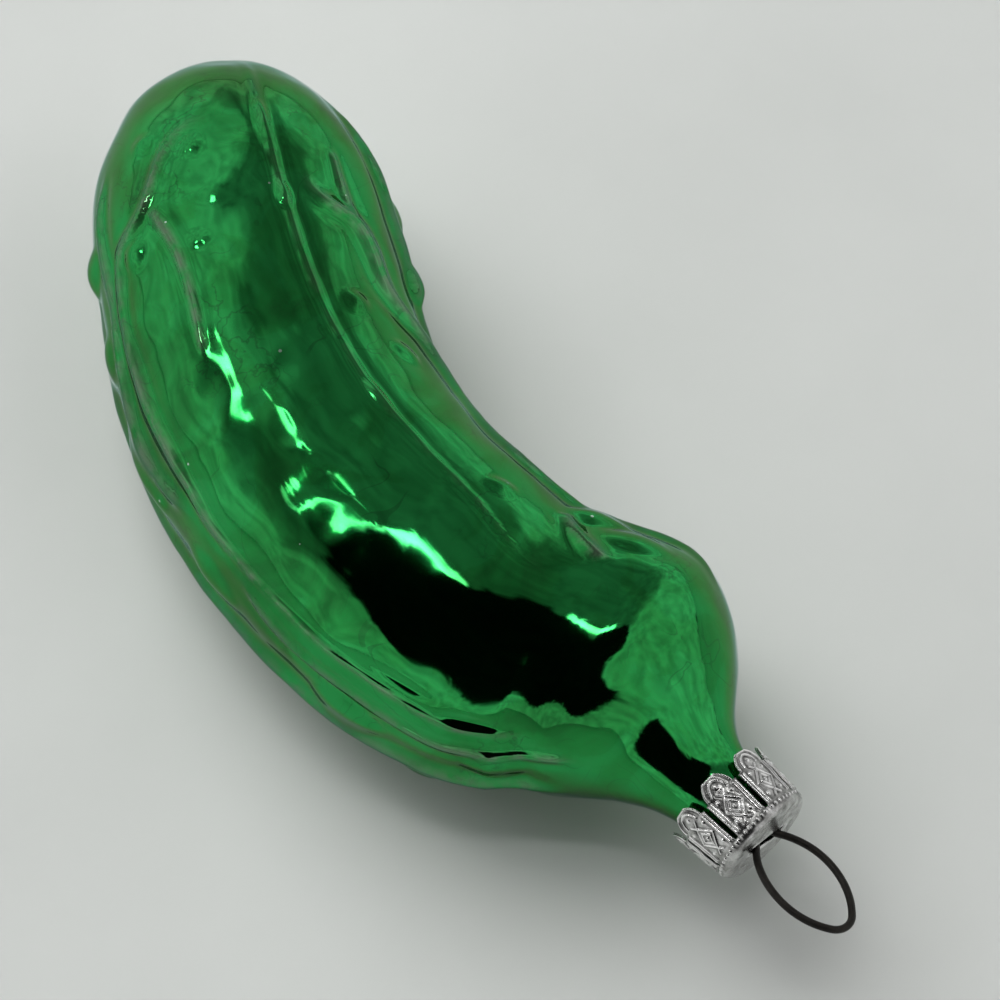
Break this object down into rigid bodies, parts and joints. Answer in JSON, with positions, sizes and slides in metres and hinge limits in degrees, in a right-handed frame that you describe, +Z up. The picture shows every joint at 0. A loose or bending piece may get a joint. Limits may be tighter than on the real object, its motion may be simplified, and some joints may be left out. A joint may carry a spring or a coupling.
{
  "type": "pickle ornament",
  "caption": "Hollow blown-glass pickle with ridges and warts, silvered inside and lacquered green, with a crown cap on its neck and a sprung wire loop to hang it by.",
  "frame": {"origin": "on the resting surface, under the middle of the ornament's box", "axes": "+X along the neck, out of the mouth towards the loop; +Z up, with the ornament lying on its belly; the body bends in the XY plane, its tail towards +Y"},
  "size_m": [0.1232, 0.0506, 0.0355],
  "materials": {
    "green_glass": "mirror gloss, silvered inside under green lacquer",
    "cap_sheet": "bright stamped sheet",
    "hanger_wire": "dark drawn spring wire"
  },
  "bodies": {
    "glass": {"glass_body": "green_glass"},
    "cap": {"cap": "cap_sheet"},
    "hanger": {"hanger": "hanger_wire"}
  },
  "joints": [
    {"name": "cap_lift", "type": "slide", "parent": "glass", "child": "cap", "axis": [1, 0, 0], "range_m": [0, 0.02]},
    {"name": "hanger_rock", "type": "hinge", "parent": "cap", "child": "hanger", "pos_m": [0.04898, -0.00151, 0.01559], "axis": [0, 0.9397, -0.342], "range_deg": [-6, 6], "stiffness_Nm_per_rad": 0.0005}
  ]
}
